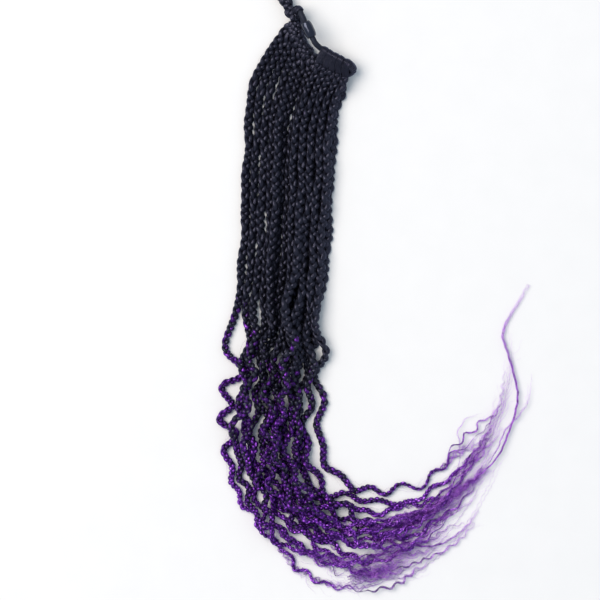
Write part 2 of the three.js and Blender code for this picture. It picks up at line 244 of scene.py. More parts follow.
# Short hairs that stand off the straight braids in an arch, in shares of the braid's radius
FLYAWAYS = 130
FLYAWAY_START = (15 * MM, 260 * MM)
FLYAWAY_LENGTH = (8 * MM, 26 * MM)
FLYAWAY_FOOT = 0.8
FLYAWAY_ARCH = (0.2, 1.0)
FLYAWAY_SIZE = 0.6

# Wisps and fuzz of the tail: routes in millimetres from the middle of the view, the spread about them
# in millimetres and how it opens from start to end, the crimp in millimetres and the dye at the start,
# set high partly as painted light that lifts the shade among the thin hairs
WISP_HEIGHT = 5
WISP_SINKS = 0.25
WISP_PER_SPAN = 8
WISP_WAVES = (8 * MM, 13 * MM)
WISPS = [
    {"hairs": 44, "spread": 0.7, "open": (0.3, 1.3), "crimp": 0.2, "dye": 1.5, "route": [
        (112, -163), (126, -152), (142, -141), (158, -125), (167, -105), (172, -90), (174, -76),
        (171, -60), (166, -42), (162, -27), (166, -16), (174, -3), (183, 13)]},
    {"hairs": 10, "spread": 0.9, "open": (0.3, 1.3), "crimp": 0.3, "dye": 1.5, "route": [
        (146, -138), (158, -118), (164, -104), (174, -93), (181, -83), (184, -70), (185, -58)]},
    {"hairs": 20, "spread": 0.5, "open": (0.6, 1.2), "crimp": 0.3, "dye": 1.1, "route": [
        (66, -186), (77, -191), (86, -194), (102, -197), (115, -194), (126, -187), (136, -178),
        (143, -168)]},
    {"hairs": 18, "spread": 0.6, "open": (0.6, 1.3), "crimp": 1.1, "dye": 1.1, "route": [
        (60, -218), (72, -216), (84, -213), (98, -208), (110, -203), (121, -197), (131, -189),
        (140, -178)]},
    {"hairs": 24, "spread": 0.8, "open": (0.8, 1.0), "crimp": 1.7, "dye": 1.0, "route": [
        (46, -233), (58, -232), (70, -230), (82, -225), (90, -218), (100, -212), (108, -206)]},
    {"hairs": 9, "spread": 1.0, "open": (0.3, 1.3), "crimp": 0.5, "dye": 1.5, "route": [
        (104, -182), (116, -175), (128, -167), (138, -160), (145, -150)]},
    {"hairs": 30, "spread": 0.45, "open": (0.7, 1.0), "crimp": 0.3, "dye": 1.2, "route": [
        (117, -133), (118, -126), (121, -117), (130, -114), (131, -107), (141, -105),
        (142, -98), (150, -95), (158, -86), (160, -80)]},
    {"hairs": 18, "spread": 0.5, "open": (0.7, 1.2), "crimp": 0.4, "dye": 1.2, "route": [
        (124, -141), (130, -138), (133, -132), (140, -128), (146, -125), (147, -119), (154, -114),
        (158, -108), (162, -102)]},
    {"hairs": 6, "spread": 0.9, "open": (0.3, 1.3), "crimp": 0.6, "dye": 1.5, "route": [
        (126, -138), (128, -120), (127, -104), (134, -95), (147, -92)]},
    {"hairs": 230, "spread": 6.0, "open": (1.1, 0.35), "crimp": 0.9, "dye": 1.0, "route": [
        (62, -184), (78, -180), (96, -173), (112, -163), (126, -153), (140, -143), (150, -134)]},
    {"hairs": 130, "spread": 9.0, "open": (0.9, 0.5), "crimp": 1.3, "dye": 1.45, "route": [
        (36, -222), (50, -220), (64, -217), (78, -212), (90, -207)]},
    {"hairs": 34, "spread": 5.0, "open": (1.0, 0.5), "crimp": 1.2, "dye": 1.5, "route": [
        (58, -200), (74, -203), (90, -203), (104, -200), (118, -194)]},
]

# Elastic, in millimetres from the middle of the view: the back, the right turn, the front, the left turn
CORD_RADIUS = 2.3 * MM
BACK_LEVEL = 5.02
FRONT_LEVEL = 13.82
SLEEVE_AXIS = np.array([0.43, -0.903, 0.0])
SLEEVE_STRETCH = [11, 7, -7, -11]
ELASTIC_BACK = [
    (-3.8, 221.5, BACK_LEVEL + 0.4),
    (-2.2, 212.5, BACK_LEVEL),
    (2.0, 203, BACK_LEVEL),
    (11, 192, BACK_LEVEL),
    (23.5, 184, BACK_LEVEL),
    (37.3, 181.2, BACK_LEVEL + 0.9),
]
ELASTIC_FRONT = [
    (41.6, 184, BACK_LEVEL + 4.4),
    (38.8, 187.6, FRONT_LEVEL - 0.4),
    (29.5, 192.6, FRONT_LEVEL),
    (19, 198.6, FRONT_LEVEL + 0.6),
]
ELASTIC_LEFT = [(-1.6, 231.4, 13.5), (-5, 228.4, 8)]
CORD_LEAD = 3
CORD_PER_SPAN = 16
CORD_RINGS = 420
CORD_SIDES = 28
KNIT_HEIGHT = 0.16 * MM
KNIT_YARNS = 7
KNIT_TURNS = 46

# Hair wound round the turns of the elastic, between points of its route, with its reach in millimetres
WINDINGS = [
    {"name": "turn_winding", "first": 4.5, "last": 7.2, "turns": 15, "reach": 3.1},
    {"name": "neck_winding", "first": 13.6, "last": 15.9, "turns": 12, "reach": 2.7},
]
WINDING_WIDTH = 1.2 * MM
WINDING_HEIGHT = 0.8 * MM
WINDING_SIDES = 10
WINDING_STRIDE = 4
WINDING_PER_SPAN = 24

# Sleeve: a barrel, with lips that start at a share of its half length and keep a share of its wall
SLEEVE_SEGMENTS = 48
SLEEVE_RINGS = 33
SLEEVE_HALF = 6.75 * MM
SLEEVE_RADIUS = 4.5 * MM
SLEEVE_END = 3.5 * MM
SLEEVE_BORE = 2.45 * MM
BARREL_POWER = 3.2
LIP_START = 0.9
LIP_SHARE = 0.55

# Hair: streaks in each metre across and along a strand, patches in each metre, and how they shade the dye
STREAK_SCALE = (1200, 1200, 170)
STREAK_DETAIL = 3
PATCH_GRAIN = (380, 2)
PATCH_SHARE = 1.1
MOTTLE_SHIFT = -1.17
DYE_SHARE = 0.62

# Grain of the other materials: marks in each metre, and their detail
ELASTIC_GRAIN = (900, 3)
SLEEVE_GRAIN = (260, 2)
TABLE_GRAIN = (40, 3)

# Gloss: the least roughness and what a pattern adds, the strength and depth of relief, and reflections
HAIR_ROUGHNESS = (0.15, 0.3)
HAIR_RELIEF = (1.0, 0.5 * MM)
HAIR_SPECULAR = 0.6
SATIN = 0.75
ELASTIC_ROUGHNESS = (0.5, 0.3)
SLEEVE_ROUGHNESS = (0.1, 0.14)
SLEEVE_RELIEF = (0.1, 0.2 * MM)
SLEEVE_SPECULAR = 0.8
TABLE_ROUGHNESS = 0.6
TABLE_SPECULAR = 0.2
GLINT = (0.62, 0.7, 1.0, 1.0)

# Colours, and the places of a pattern at which they stand
BLACK = (0.026, 0.0255, 0.039)
SOFT_BLACK = (0.03, 0.027, 0.045)
DEEP_PURPLE = (0.045, 0.008, 0.105)
PURPLE = (0.12, 0.02, 0.27)
BRIGHT_PURPLE = (0.24, 0.055, 0.48)
# Light purple of the tips: partly the hair's own colour, partly painted light brightened to stand in for
# light shining through thin hair
LIGHT_PURPLE = (0.6, 0.22, 0.9)
BLACK_STOPS = [(0.0, BLACK), (1.0, SOFT_BLACK)]
OMBRE_STOPS = [
    (0.0, BLACK),
    (0.24, SOFT_BLACK),
    (0.38, DEEP_PURPLE),
    (0.55, PURPLE),
    (0.72, BRIGHT_PURPLE),
    (0.95, LIGHT_PURPLE),
]
ELASTIC_STOPS = [(0.3, (0.003, 0.0035, 0.006)), (0.75, (0.009, 0.01, 0.016))]
SLEEVE_STOPS = [(0.3, (0.003, 0.003, 0.005)), (0.8, (0.008, 0.008, 0.012))]
TABLE_STOPS = [(0.2, (0.836, 0.836, 0.84)), (0.8, (0.858, 0.856, 0.86))]


# Where the middle of the view lies in the part's frame
def view_middle():
    low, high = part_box("joint_sleeve")
    sleeve = (np.array(low) + np.array(high)) / 2
    return np.array([*(sleeve[:2] - SLEEVE_PLACE[:2] * MM), 0.0])


MIDDLE = view_middle()


def unit(vectors):
    return vectors / np.maximum(np.linalg.norm(vectors, axis=-1, keepdims=True), LEAST)


def smoothstep(low, high, value):
    share = np.clip((value - low) / (high - low), 0, 1)
    return share * share * (3 - 2 * share)


# Shares of a circle drawn out towards a rounded square
def squared(share):
    return np.sign(share) * np.abs(share) ** SECTION_POWER


# The ends of a row, with the middles between its neighbours
def middles(row):
    return np.concatenate([row[:1], (row[1:] + row[:-1]) / 2, row[-1:]])


def running_length(line):
    return np.concatenate([[0], np.cumsum(np.linalg.norm(np.diff(line, axis=0), axis=1))])


# Levels of points of a welded mesh, by the number of edges from a start
def levels_from(start, neighbours):
    seen = {start}
    levels = [[start]]
    while levels[-1]:
        ring = {n for p in levels[-1] for n in neighbours[p]} - seen
        seen |= ring
        levels.append(sorted(ring))
    return levels[:-1]


# Rings of points of a swept node, from its end at the elastic to its tip
def node_rings(name):
    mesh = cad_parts[name].data
    points = np.array([v.co for v in mesh.vertices])
    grid = np.round(points / WELD_GRID)
    _, first, weld = np.unique(grid, axis=0, return_index=True, return_inverse=True)
    weld = weld.ravel()
    places = points[first]
    neighbours = [set() for _ in places]
    for edge in mesh.edges:
        a, b = (weld[v] for v in edge.vertices)
        if a != b:
            neighbours[a].add(b)
            neighbours[b].add(a)
    one_end = levels_from(0, neighbours)[-1][0]
    other_end = levels_from(one_end, neighbours)[-1][0]
    low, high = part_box("elastic_band")
    knot = (np.array(low) + np.array(high)) / 2
    root = min(one_end, other_end, key=lambda p: np.linalg.norm(places[p] - knot))
    return [places[level] for level in levels_from(root, neighbours)[1:-1]]


# Dense smooth line through points
def smooth_line(points, per_span):
    gaps = np.linalg.norm(np.diff(points, axis=0), axis=1)
    slopes = np.gradient(points, running_length(points), axis=0)
    share = np.linspace(0, 1, per_span, endpoint=False)[None, :, None]
    start, end = points[:-1, None], points[1:, None]
    leave = (slopes[:-1] * gaps[:, None])[:, None]
    arrive = (slopes[1:] * gaps[:, None])[:, None]
    gone = smoothstep(0, 1, share)
    bend = share * (1 - share) * (leave * (1 - share) - arrive * share)
    line = start * (1 - gone) + end * gone + bend
    return np.concatenate([line.reshape(-1, 3), points[-1:]])


# Rows of a table at lengths along it
def rows_at(rows, lengths, wanted):
    return np.stack([np.interp(wanted, lengths, column) for column in rows.T], axis=1)


# Points of a line at lengths along it, going straight on past its end
def at_lengths(line, lengths, wanted):
    past = np.maximum(wanted - lengths[-1], 0)[:, None]
    return rows_at(line, lengths, wanted) + past * unit(line[-1] - line[-LAST_POINTS])


# Two directions across a line, turned about it by an angle
def turned(side, up, turn):
    turn = np.broadcast_to(turn, len(side))[:, None]
    return side * np.cos(turn) + up * np.sin(turn), up * np.cos(turn) - side * np.sin(turn)


# Level sideways and upward directions across a line
def across(line):
    along = unit(np.gradient(line, axis=0))
    side = unit(np.cross(along, UP) + NUDGE)
    return side, np.cross(side, along)


class Tubes:
    """Closed tubes joined into one mesh, with the run of the fibres and the dye at each point."""

    def __init__(self):
        self.points, self.faces, self.fibres, self.dyes = [], [], [], []
        self.count = 0

    def add(self, line, side, up, width, height, sides, dye):
        rings = len(line)
        angle = (np.arange(sides) + 0.5) / sides * TURN
        width, height, dye = (np.broadcast_to(v, rings)[:, None] for v in (width, height, dye))
        wide = width * squared(np.cos(angle))
        high = height * squared(np.sin(angle))
        points = line[:, None] + side[:, None] * wide[..., None] + up[:, None] * high[..., None]
        lengths = np.broadcast_to(running_length(line)[:, None], wide.shape)
        self.points += [points.reshape(-1, 3), line[[0, -1]]]
        self.fibres += [np.stack([wide, high, lengths], axis=-1).reshape(-1, 3), np.zeros((2, 3))]
        self.dyes += [np.broadcast_to(dye, wide.shape).ravel(), dye[[0, -1], 0]]
        self.join(rings, sides)

    # Faces of a tube: rings joined by quads, and each end closed by a fan
    def join(self, rings, sides):
        around = np.arange(sides)
        beside = np.roll(around, -1)
        row = self.count + np.arange(rings - 1)[:, None] * sides
        near, far = row + around, row + beside
        quads = np.stack([near, far, far + sides, near + sides], axis=-1)
        first = self.count + rings * sides
        tail = first - sides
        root_fan = np.stack([np.full(sides, first), self.count + beside, self.count + around], axis=-1)
        tip_fan = np.stack([np.full(sides, first + 1), tail + around, tail + beside], axis=-1)
        self.faces += quads.reshape(-1, 4).tolist() + root_fan.tolist() + tip_fan.tolist()
        self.count = first + 2

    # A single hair, thinner towards its tip
    def hair(self, line, radius, dye):
        side, up = across(line)
        size = radius * (1 - HAIR_TAPER * np.linspace(0, 1, len(line)) ** 2)
        self.add(line, side, up, size, size, HAIR_SIDES, dye)

    def piece(self, name, material):
        points = np.concatenate(self.points)
        points[:, 2] = np.maximum(points[:, 2], TABLE_GAP)
        piece = mesh_piece(name, points.tolist(), self.faces, material)
        fibre = piece.data.attributes.new("fibre", "FLOAT_VECTOR", "POINT")
        fibre.data.foreach_set("vector", np.concatenate(self.fibres).astype(np.float32).ravel())
        dye = piece.data.attributes.new("dye", "FLOAT", "POINT")
        dye.data.foreach_set("value", np.concatenate(self.dyes).astype(np.float32))
        return piece


# A smooth mesh that moves with the part
def mesh_piece(name, points, faces, material):
    mesh = bpy.data.meshes.new(name)
    mesh.from_pydata(points, [], faces)
    mesh.shade_smooth()
    mesh.materials.append(material)
    piece = bpy.data.objects.new(name, mesh)
    bpy.context.scene.collection.objects.link(piece)
    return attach(piece, "root")


class Braid:
    """Way, frame and radius of a braid, read from its node; lengths count from the elastic on."""

    PER_SPAN = 16

    def __init__(self, name):
        self.name = name
        self.blunt = name == "wrap_braid"
        self.thinned = STRAY_THIN if name == STRAY_BRAID else 0.0
        self.bare = STRAY_BARE if name == STRAY_BRAID else PLAIT_BARE
        rings = node_rings(name)
        centres = np.array([ring.mean(axis=0) for ring in rings])
        self.front = centres[:LOOP_RINGS, 2].mean() > FRONT_HEIGHT
        self.line = smooth_line(centres, self.PER_SPAN)
        root = (LOOP_RINGS - 1) * self.PER_SPAN
        self.lengths = running_length(self.line)
        self.lengths -= self.lengths[root]
        self.line = self.line + self.wander()
        self.total = self.lengths[-1]
        self.knots = self.lengths[::self.PER_SPAN]
        self.radii = np.array([np.linalg.norm(ring - ring.mean(axis=0), axis=1).max() for ring in rings])
        self.radii[:LOOP_RINGS] = self.radii[LOOP_RINGS]
        self.side = self.sideways(root)
        self.calm_line, self.calm_lengths = self.calm_way(centres)

    # Way past the loop without its crimp, through the middles between rings, and the lengths along it
    def calm_way(self, centres):
        line = smooth_line(middles(centres[LOOP_RINGS - 1:]), self.PER_SPAN)
        knots = middles(self.knots[LOOP_RINGS - 1:])
        steps = np.arange(len(line)) / self.PER_SPAN
        return line, np.interp(steps, np.arange(len(knots)), knots)

    # Slow sideways straying, widest where the braid is crimped
    def wander(self):
        side, _ = across(self.line)
        waves = [np.sin(self.lengths / wave * TURN + random.uniform(0, TURN)) for wave in WANDER_WAVES]
        size = np.interp(self.lengths, *zip(*WANDER_SIZE))
        return side * (size * sum(waves))[:, None]

    # Level sideways directions, carried on without a flip round the loop
    def sideways(self, root):
        along = unit(np.gradient(self.line, axis=0))
        side = unit(np.cross(along, UP))
        for i in range(root - 1, -1, -1):
            side[i] = unit(side[i + 1] - along[i] * (along[i] @ side[i + 1]))
        return side

    def radius(self, length):
        return np.interp(length, self.knots, self.radii)

    # Lengths along the braid, a spacing apart that changes with the length
    def steps(self, first, last, spacing):
        fine = np.linspace(first, last, FINE_STEPS)
        pace = 1 / spacing(fine)
        count = np.concatenate([[0], np.cumsum((pace[1:] + pace[:-1]) / 2 * np.diff(fine))])
        return np.interp(np.linspace(0, count[-1], int(count[-1]) + 2), count, fine)

    def at(self, length):
        return at_lengths(self.line, self.lengths, length)

    # The braid's way without its crimp
    def calm_at(self, length):
        return at_lengths(self.calm_line, self.calm_lengths, length)

    # Sideways and upward directions at lengths, turned about the braid by an angle
    def frame_at(self, length, turn):
        line = self.at(length)
        along = unit(np.gradient(line, axis=0))
        side = rows_at(self.side, self.lengths, length)
        side = unit(side - along * (along * side).sum(axis=1, keepdims=True))
        return turned(side, np.cross(side, along), turn)


# Half width and half height of a plait at lengths: pressed wide, then slim, and drawn in towards its end
def plait_size(braid, lengths, last, width):
    radius = braid.radius(lengths)
    crimp = smoothstep(*STRAIGHT_END, lengths)
    drawn = (1 - (1 - CRIMP_SLIM) * crimp) * (1 - LOCK_SHARE * smoothstep(LOCK_START, PLAIT_END, lengths))
    drawn = drawn * (1 - braid.thinned * smoothstep(*STRAY_RANGE, lengths))
    if not braid.blunt:
        drawn = drawn * (1 - POINT_DRAW * smoothstep(last - PLAIT_POINT, last, lengths))
    pressed = width + (1 - width) * crimp
    flat = 1 - smoothstep(0, FLAT_END, lengths)
    return radius * drawn * pressed, radius * drawn * (1 - (1 - FLAT_HEIGHT) * flat)


# Three strands plaited along a braid, plump where they lie on top
def add_plait(tubes, braid, dye_of, sides, period, width, twist):
    first = FRONT_START if braid.front else braid.lengths[0]
    last = min(braid.total - braid.bare, PLAIT_END)

    def turn_length(lengths):
        closer = 1 - (1 - CURL_PERIOD) * smoothstep(*STRAIGHT_END, lengths)
        return period * closer * braid.radius(lengths)

    lengths = braid.steps(first, last, lambda at: turn_length(at) / RINGS_PER_TURN)
    line = braid.at(lengths)
    phase = np.concatenate([[0], np.cumsum(np.diff(lengths) * TURN / turn_length(lengths)[1:])])
    for wave in JITTER_WAVES:
        phase += PLAIT_JITTER * np.sin(lengths / wave * TURN + random.uniform(0, TURN))
    side, up = braid.frame_at(lengths, twist(lengths))
    broad, tall = plait_size(braid, lengths, last, width)
    for strand in range(STRANDS):
        turn = phase + strand * TURN / STRANDS
        over = -np.sin(2 * turn)
        swing = PLAIT_SWING * broad * np.sin(turn)
        lift = PLAIT_LIFT * tall * over
        plump = 1 + STRAND_PLUMP * over
        centre = line + side * swing[:, None] + up * lift[:, None]
        along = unit(np.gradient(centre, axis=0))
        level = unit(side - along * (along * side).sum(axis=1, keepdims=True))
        strand_up = np.cross(level, along)
        thick = STRAND_WIDTH * broad * plump
        high = STRAND_HEIGHT * tall * plump
        tubes.add(centre, level, strand_up, thick, high, sides, dye_of(strand, lengths))


# Inner hair of the straight braids, low under the plait
def add_core(tubes, braid):
    first = FRONT_START if braid.front else 0.0
    lengths = braid.steps(first, CORE_END[1], lambda at: CORE_STEP * braid.radius(at))
    side, up = braid.frame_at(lengths, 0.0)
    radius = braid.radius(lengths)
    thin = 1 - CORE_TAPER * smoothstep(*CORE_END, lengths)
    line = braid.at(lengths) - up * (CORE_DROP * radius)[:, None]
    width = CORE_WIDTH * radius * thin
    height = CORE_HEIGHT * radius * thin
    tubes.add(line, side, up, width, height, CORE_SIDES, 0.0)


# Smooth locks side by side in a rounded rib, following the loop round the elastic into the plait
def add_loop(tubes, braid):
    loop_steps, leaving_steps = LOOP_STEPS
    loop = np.linspace(braid.lengths[0], 0, loop_steps)
    leaving = np.linspace(0, LOOP_LEAVES[1], leaving_steps)
    lengths = np.concatenate([loop, leaving[1:]])
    line = braid.at(lengths)
    side, up = braid.frame_at(lengths, 0.0)
    gather = 1 - LOOP_GATHER * smoothstep(*LOOP_LEAVES, lengths)
    hug = LOOP_HUG * (1 - smoothstep(0, LOOP_LEAVES[1], lengths))
    for lock in range(LOOP_LOCKS):
        place = 2 * (lock + 0.5) / LOOP_LOCKS - 1
        crown = LOOP_HEIGHT * math.sqrt(1 - place * place) * random.uniform(*CROWN_RANGE)
        sideways = place * LOOP_WIDTH / 2 * gather
        centre = line + side * sideways[:, None] + up * (crown * CROWN_RISE - hug)[:, None]
        width = LOOP_WIDTH / LOOP_LOCKS * LOOP_LOCK_WIDTH * gather
        height = crown * LOOP_LOCK_HEIGHT * gather
        tubes.add(centre, side, up, width, height, LOOP_SIDES, 0.0)


# A hair with its own fine waves
def frizzed(line):
    side, _ = across(line)
    size = random.uniform(*FRIZZ_SIZE) * smoothstep(0, FRIZZ_GROWS, np.linspace(0, 1, len(line)))
    turn = running_length(line) / random.uniform(*FRIZZ_WAVES) * TURN + random.uniform(0, TURN)
    return line + side * (size * np.sin(turn))[:, None]


# Hairs of one fine lock about a line, spreading and ending one after another
def add_lock(tubes, line, hairs, spread, opening, dyes):
    share = np.linspace(0, 1, len(line))
    side, up = across(line)
    opened = opening[0] + (opening[1] - opening[0]) * share
    for _ in range(hairs):
        reach = (LOCK_ROOM + spread * random.random()) * opened
        angle = random.uniform(0, TURN) + share * random.normal(0, LOCK_TURN)
        wander = random.normal(0, 1) * spread * opening[1] * share ** LOCK_WANDER_POWER
        aside = reach * np.cos(angle) + wander
        rise = reach * np.abs(np.sin(angle)) * LOCK_FLATNESS
        offset = side * aside[:, None] + up * rise[:, None]
        kept = (share >= random.uniform(*LOCK_STARTS)) & (share <= random.uniform(*LOCK_ENDS))
        dye = dyes[0] + (dyes[1] - dyes[0]) * share
        hair = frizzed((line + offset)[kept])
        tubes.hair(hair, HAIR_RADIUS * random.uniform(*LOCK_SIZES), dye[kept])


# Sideways crimp with an uneven wave, growing from the start of a line
def crimped(line, lengths, size, waves):
    side, _ = across(line)
    share = np.linspace(0, 1, len(line))
    wave = random.uniform(*waves)
    turn = lengths / wave * TURN + random.uniform(0, TURN)
    turn += CRIMP_UNEVEN * np.sin(lengths / wave * CRIMP_BEAT)
    return line + side * (size * np.sin(turn) * smoothstep(0, CRIMP_GROWS, share))[:, None]


# Fine crimped locks that a braid frays into, and smooth hairs at the end of a long one
def add_fray(tubes, braid):
    for _ in range(FRAY_LOCKS):
        first = min(random.uniform(*FRAY_START), braid.total - FRAY_LEAST)
        last = min(first + random.uniform(*FRAY_LENGTH), braid.total + FRAY_PAST, FRAY_END)
        lengths = np.arange(first, last, HAIR_STEP)
        share = (lengths - first) / (last - first)
        free = smoothstep(0, FRAY_FREE, share)[:, None]
        line = braid.at(lengths) * (1 - free) + braid.calm_at(lengths) * free
        side, _ = across(line)
        line = line + side * (random.normal(0, FRAY_DRIFT) * share ** FRAY_DRIFT_POWER)[:, None]
        line[:, 2] *= 1 - FRAY_SINK * smoothstep(*FRAY_SINK_SHARES, share)
        line = crimped(line, lengths, random.uniform(*FRAY_CRIMP), FRAY_WAVES)
        add_lock(tubes, line, FRAY_HAIRS, FRAY_SPREAD, LOCK_OPENING, (HAIR_DYE, TIP_DYE_AND_PAINTED_LIGHT))
    if braid.total > LONG_BRAID:
        line = braid.calm_at(np.arange(END_START, braid.total, HAIR_STEP))
        add_lock(tubes, line, END_HAIRS, END_SPREAD, LOCK_OPENING, (HAIR_DYE, TIP_DYE_AND_PAINTED_LIGHT))


# Wisps along their routes, sinking towards the table
def add_wisps(tubes):
    for wisp in WISPS:
        route = np.array([(x, y, WISP_HEIGHT) for x, y in wisp["route"]]) * MM + MIDDLE
        route[:, 2] *= np.linspace(1, WISP_SINKS, len(route))
        line = smooth_line(route, WISP_PER_SPAN)
        lengths = running_length(line)
        steps = np.arange(0, lengths[-1], HAIR_STEP)
        line = crimped(at_lengths(line, lengths, steps), steps, wisp["crimp"] * MM, WISP_WAVES)
        dyes = (wisp["dye"], TIP_DYE_AND_PAINTED_LIGHT)
        add_lock(tubes, line, wisp["hairs"], wisp["spread"] * MM, wisp["open"], dyes)


# Fuzz that leaves the braids low down and drifts with them
def add_haze(tubes, braids):
    for _ in range(HAZE_HAIRS):
        braid = braids[random.integers(len(braids))]
        first = random.uniform(HAZE_START, min(braid.total, HAZE_END) - HAZE_LEAST)
        lengths = first + np.arange(0, random.uniform(*HAZE_LENGTH), HAZE_STEP)
        share = np.linspace(0, 1, len(lengths))
        line = braid.at(lengths) * (1 - share[:, None]) + braid.calm_at(lengths) * share[:, None]
        side, _ = across(line)
        spread = HAZE_DRIFT + LATE_DRIFT * smoothstep(*LATE_RANGE, first)
        drift = random.normal(0, spread) * share ** HAZE_DRIFT_POWER
        rise = random.random() * HAZE_RISE * share * (1 - share)
        line = line + side * drift[:, None] + UP * rise[:, None]
        line = crimped(line, lengths, random.uniform(*HAZE_CRIMP), HAZE_WAVES)
        dye = HAIR_DYE + (TIP_DYE_AND_PAINTED_LIGHT - HAIR_DYE) * smoothstep(*HAZE_TIPS, lengths)
        tubes.hair(line, HAIR_RADIUS * random.uniform(*HAZE_SIZES), dye)


# Short stray hairs along the straight black braids
def add_flyaways(tubes, braids):
    for _ in range(FLYAWAYS):
        braid = braids[random.integers(len(braids))]
        first = random.uniform(*FLYAWAY_START)
        lengths = first + np.arange(0, random.uniform(*FLYAWAY_LENGTH), HAIR_STEP)
        share = np.linspace(0, 1, len(lengths))
        line = braid.at(lengths)
        side, up = across(line)
        arch = random.uniform(*FLYAWAY_ARCH) * np.sin(math.pi * share)
        away = (braid.radius(lengths) * (FLYAWAY_FOOT + arch))[:, None]
        angle = random.uniform(0, math.pi)
        line = line + side * (away * math.cos(angle)) + up * (away * math.sin(angle))
        tubes.hair(line, HAIR_RADIUS * FLYAWAY_SIZE, 0.0)


# Start of the dye on each strand of each braid, later towards the right of the bunch
def dye_starts(braids):
    x = np.array([braid.at(np.array([LANE_LENGTH]))[0, 0] for braid in braids])
    lanes = (x - x.min()) / (x.max() - x.min())
    start = DYE_LEFT + (DYE_RIGHT - DYE_LEFT) * lanes[:, None]
    stagger = np.array([random.permutation(DYE_STAGGER) for _ in braids])
    spread = random.uniform(*STAGGER_SPREAD, stagger.shape)
    shift = random.normal(0, DYE_SHIFT, stagger.shape)
    return start + stagger * spread + shift


def new_material(name):
    material = bpy.data.materials.new(name)
    material.use_nodes = True
    tree = material.node_tree
    return material, tree, tree.nodes["Principled BSDF"]


# Colours along a value; added stops start half way and are then put in their places
def ramp_node(tree, value, stops):
    ramp = tree.nodes.new("ShaderNodeValToRGB")
    elements = ramp.color_ramp.elements
    while len(elements) < len(stops):
        elements.new(0.5)
    for element, (place, colour) in zip(elements, stops):
        element.position = place
        element.color = (*colour, 1)
    tree.links.new(value, ramp.inputs["Fac"])
    return ramp.outputs["Color"]


def base_colour(tree, shader, pattern, stops):
    tree.links.new(ramp_node(tree, pattern, stops), shader.inputs["Base Color"])


def noise_node(tree, vector, scale, detail):
    noise = tree.nodes.new("ShaderNodeTexNoise")
    noise.inputs["Scale"].default_value = scale
    noise.inputs["Detail"].default_value = detail
    tree.links.new(vector, noise.inputs["Vector"])
    return noise.outputs["Fac"]


def object_place(tree):
    return tree.nodes.new("ShaderNodeTexCoord").outputs["Object"]


def attribute_node(tree, name):
    node = tree.nodes.new("ShaderNodeAttribute")
    node.attribute_name = name
    return node


# A value times a factor, plus a number or another value
def scaled(tree, value, factor, added):
    node = tree.nodes.new("ShaderNodeMath")
    node.operation = "MULTIPLY_ADD"
    tree.links.new(value, node.inputs[0])
    node.inputs[1].default_value = factor
    if isinstance(added, bpy.types.NodeSocket):
        tree.links.new(added, node.inputs[2])
    else:
        node.inputs[2].default_value = added
    return node.outputs[0]


# Roughness of a shader: the least of it, and what a pattern adds
def roughness(tree, shader, pattern, least, added):
    tree.links.new(scaled(tree, pattern, added, least), shader.inputs["Roughness"])


def bump_node(tree, shader, height, strength, distance):
    bump = tree.nodes.new("ShaderNodeBump")
    bump.inputs["Strength"].default_value = strength
    bump.inputs["Distance"].default_value = distance
    tree.links.new(height, bump.inputs["Height"])
    tree.links.new(bump.outputs["Normal"], shader.inputs["Normal"])


# Hair: fine streaks along the strand, and the dye from black through deep purple to light tips;
# the tips' lightness is partly painted light, standing in for light shining through thin hair
def hair_material(name, stops):
    material, tree, shader = new_material(name)
    stretch = tree.nodes.new("ShaderNodeMapping")
    stretch.inputs["Scale"].default_value = STREAK_SCALE
    tree.links.new(attribute_node(tree, "fibre").outputs["Vector"], stretch.inputs["Vector"])
    streak = noise_node(tree, stretch.outputs["Vector"], 1.0, STREAK_DETAIL)
    patch = noise_node(tree, object_place(tree), *PATCH_GRAIN)
    dye = attribute_node(tree, "dye").outputs["Fac"]
    mottled = scaled(tree, patch, PATCH_SHARE, scaled(tree, streak, 1.0, MOTTLE_SHIFT))
    shade = scaled(tree, dye, DYE_SHARE, mottled)
    base_colour(tree, shader, shade, stops)
    roughness(tree, shader, streak, *HAIR_ROUGHNESS)
    bump_node(tree, shader, streak, *HAIR_RELIEF)
    shader.inputs["Metallic"].default_value = SATIN
    shader.inputs["Specular IOR Level"].default_value = HAIR_SPECULAR
    shader.inputs["Specular Tint"].default_value = GLINT
    return material


def ombre_hair():
    return hair_material("hair_ombre_look", OMBRE_STOPS)


def black_hair():
    return hair_material("hair_black_look", BLACK_STOPS)


# Elastic: a matt cover of yarn, with a little blue in its black
def elastic_material():
    material, tree, shader = new_material("elastic_look")
    noise = noise_node(tree, object_place(tree), *ELASTIC_GRAIN)
    base_colour(tree, shader, noise, ELASTIC_STOPS)
    roughness(tree, shader, noise, *ELASTIC_ROUGHNESS)
    shader.inputs["Specular Tint"].default_value = GLINT
    return material


# Sleeve: moulded gloss black with faint ripples and smudges
def sleeve_material():
    material, tree, shader = new_material("sleeve_look")
    noise = noise_node(tree, object_place(tree), *SLEEVE_GRAIN)
    base_colour(tree, shader, noise, SLEEVE_STOPS)
    roughness(tree, shader, noise, *SLEEVE_ROUGHNESS)
    bump_node(tree, shader, noise, *SLEEVE_RELIEF)
    shader.inputs["Specular IOR Level"].default_value = SLEEVE_SPECULAR
    shader.inputs["Specular Tint"].default_value = GLINT
    return material


# Table: smooth and pale, a little blue
def table_material():
    material, tree, shader = new_material("table_look")
    noise = noise_node(tree, object_place(tree), *TABLE_GRAIN)
    base_colour(tree, shader, noise, TABLE_STOPS)
    shader.inputs["Roughness"].default_value = TABLE_ROUGHNESS
    shader.inputs["Specular IOR Level"].default_value = TABLE_SPECULAR
    return material


